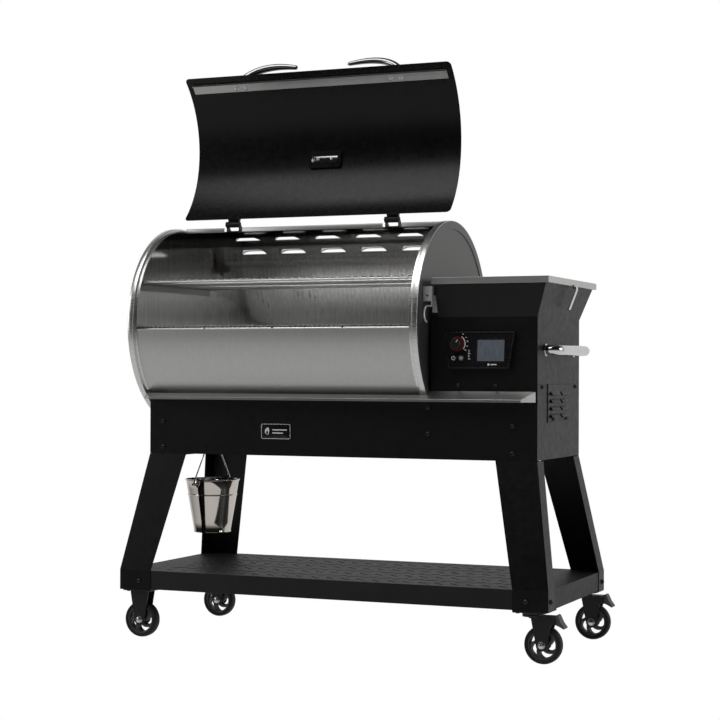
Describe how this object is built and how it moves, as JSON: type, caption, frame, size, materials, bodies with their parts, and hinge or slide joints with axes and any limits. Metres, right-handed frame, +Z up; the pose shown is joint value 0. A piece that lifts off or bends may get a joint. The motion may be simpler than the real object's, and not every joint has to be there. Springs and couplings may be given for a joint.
{
  "type": "pellet smoker grill",
  "caption": "Horizontal barrel pellet smoker on a wheeled cart, with a raised curved lid, racks, a side pellet hopper with controller, a slotted shelf and a grease bucket.",
  "frame": {"origin": "on the floor, below the middle of the whole object's box", "axes": "+X towards the hopper end, +Y towards the back, +Z up; the front with the controller faces -Y"},
  "size_m": [1.366, 0.588, 1.7008],
  "materials": {
    "black_steel": "fine-grained black powder coat",
    "brushed_steel": "brushed stainless steel",
    "satin_steel": "satin stainless steel",
    "polished_steel": "polished stainless steel",
    "caster_steel": "black coated pressed steel",
    "black_zinc": "dark plated steel",
    "grey_plastic": "grey moulded plastic",
    "rim_plastic": "grey moulded wheel core",
    "tyre": "black rubber tread",
    "black_plastic": "black moulded plastic",
    "screen_glass": "display behind clear plastic",
    "badge": "plain badge plate"
  },
  "bodies": {
    "cart": {"front_apron": "black_steel", "rear_apron": "black_steel", "left_apron_end": "black_steel", "column_side_panel": "black_steel", "front_legs": "black_steel", "rear_legs": "black_steel", "bottom_shelf": "black_steel", "front_ledge": "brushed_steel", "badge_plate": "badge", "louver_cover": "black_steel", "cart_bolts": "black_zinc", "caster_mounts": "caster_steel", "barrel_shell": "brushed_steel", "end_caps": "satin_steel", "end_rings": "polished_steel", "grate_rails": "satin_steel", "hinge_bases": "satin_steel", "side_handles": "polished_steel", "stay_bracket": "polished_steel", "drip_pan": "satin_steel", "heat_deflector": "black_zinc", "fire_pot": "satin_steel", "auger_tube": "black_zinc", "auger_motor": "black_zinc", "blower_housing": "black_zinc", "drip_spout": "satin_steel", "hopper_body": "black_steel", "hopper_bin": "satin_steel", "hopper_grille": "satin_steel", "controller_bezel": "black_plastic", "controller_screen": "screen_glass"},
    "caster_front": {"swivel_fork_front": "caster_steel"},
    "caster_rear": {"swivel_fork_rear": "caster_steel"},
    "pedal_front": {"brake_pedal_front": "grey_plastic"},
    "pedal_rear": {"brake_pedal_rear": "grey_plastic"},
    "lid": {"lid_shell": "black_steel", "lid_strip": "satin_steel", "lid_handles": "polished_steel", "lid_fasteners": "polished_steel", "lid_bracket": "black_steel", "hinge_arms": "black_steel"},
    "rack": {"upper_rack": "satin_steel"},
    "grates": {"main_grates": "satin_steel"},
    "auger_screw": {"auger": "black_zinc"},
    "fan": {"blower_wheel": "grey_plastic"},
    "hopper_cover": {"hopper_lid": "brushed_steel"},
    "latch": {"hopper_latch": "polished_steel"},
    "knob": {"control_knob": "black_plastic"},
    "power_key": {"power_button": "black_plastic"},
    "light_key": {"light_button": "black_plastic"},
    "bail": {"bucket_bail": "polished_steel"},
    "pail": {"bucket": "polished_steel"},
    "wheel_front_left": {"tyre_front_left": "tyre", "rim_front_left": "rim_plastic"},
    "wheel_rear_left": {"tyre_rear_left": "tyre", "rim_rear_left": "rim_plastic"},
    "wheel_front_right": {"tyre_front_right": "tyre", "rim_front_right": "rim_plastic"},
    "wheel_rear_right": {"tyre_rear_right": "tyre", "rim_rear_right": "rim_plastic"}
  },
  "joints": [
    {"name": "lid_hinge", "type": "hinge", "parent": "cart", "child": "lid", "pos_m": [-0.1795, 0.0235, 1.2137], "axis": [1, 0, 0], "range_deg": [0, 134]},
    {"name": "hopper_lid_hinge", "type": "hinge", "parent": "cart", "child": "hopper_cover", "pos_m": [0.299, 0, 1.004], "axis": [0, -1, 0], "range_deg": [0, 65]},
    {"name": "latch_hinge", "type": "hinge", "parent": "hopper_cover", "child": "latch", "pos_m": [0.634, 0, 1.005], "axis": [0, -1, 0], "range_deg": [0, 40]},
    {"name": "knob_turn", "type": "hinge", "parent": "cart", "child": "knob", "pos_m": [0.363, -0.20967, 0.84795], "axis": [0, -0.9969, 0.0785], "continuous": true},
    {"name": "power_press", "type": "slide", "parent": "cart", "child": "power_key", "axis": [0, 0.9969, -0.0785], "range_m": [0, 0.002], "stiffness_N_per_m": 300},
    {"name": "light_press", "type": "slide", "parent": "cart", "child": "light_key", "axis": [0, 0.9969, -0.0785], "range_m": [0, 0.002], "stiffness_N_per_m": 300},
    {"name": "caster_swivel_front", "type": "hinge", "parent": "cart", "child": "caster_front", "pos_m": [0.59, -0.243, 0.12], "axis": [0, 0, 1], "continuous": true},
    {"name": "wheel_spin_front_right", "type": "hinge", "parent": "caster_front", "child": "wheel_front_right", "pos_m": [0.621, -0.243, 0.0515], "axis": [0, 1, 0], "continuous": true},
    {"name": "wheel_spin_front_left", "type": "hinge", "parent": "cart", "child": "wheel_front_left", "pos_m": [-0.592, -0.243, 0.0515], "axis": [0, 1, 0], "continuous": true},
    {"name": "brake_pedal_hinge_front", "type": "hinge", "parent": "caster_front", "child": "pedal_front", "pos_m": [0.652, -0.243, 0.114], "axis": [0, 1, 0], "range_deg": [0, 18]},
    {"name": "caster_swivel_rear", "type": "hinge", "parent": "cart", "child": "caster_rear", "pos_m": [0.59, 0.243, 0.12], "axis": [0, 0, 1], "continuous": true},
    {"name": "wheel_spin_rear_right", "type": "hinge", "parent": "caster_rear", "child": "wheel_rear_right", "pos_m": [0.621, 0.243, 0.0515], "axis": [0, 1, 0], "continuous": true},
    {"name": "wheel_spin_rear_left", "type": "hinge", "parent": "cart", "child": "wheel_rear_left", "pos_m": [-0.592, 0.243, 0.0515], "axis": [0, 1, 0], "continuous": true},
    {"name": "brake_pedal_hinge_rear", "type": "hinge", "parent": "caster_rear", "child": "pedal_rear", "pos_m": [0.652, 0.243, 0.114], "axis": [0, 1, 0], "range_deg": [0, 18]},
    {"name": "upper_rack_lift", "type": "slide", "parent": "cart", "child": "rack", "axis": [0, 0, 1], "range_m": [0, 0.015]},
    {"name": "grate_lift", "type": "slide", "parent": "cart", "child": "grates", "axis": [0, 0, 1], "range_m": [0, 0.08]},
    {"name": "auger_turn", "type": "hinge", "parent": "cart", "child": "auger_screw", "pos_m": [0.2, 0, 0.7], "axis": [1, 0, 0], "continuous": true},
    {"name": "fan_spin", "type": "hinge", "parent": "cart", "child": "fan", "pos_m": [0.4, 0.085, 0.61], "axis": [0, 1, 0], "continuous": true},
    {"name": "bail_swing", "type": "hinge", "parent": "cart", "child": "bail", "pos_m": [-0.492, 0, 0.573], "axis": [0.1736, 0.9848, 0], "range_deg": [-20, 20]},
    {"name": "bucket_tilt", "type": "hinge", "parent": "bail", "child": "pail", "pos_m": [-0.492, 0, 0.435], "axis": [0.1736, 0.9848, 0], "range_deg": [-15, 15]}
  ]
}
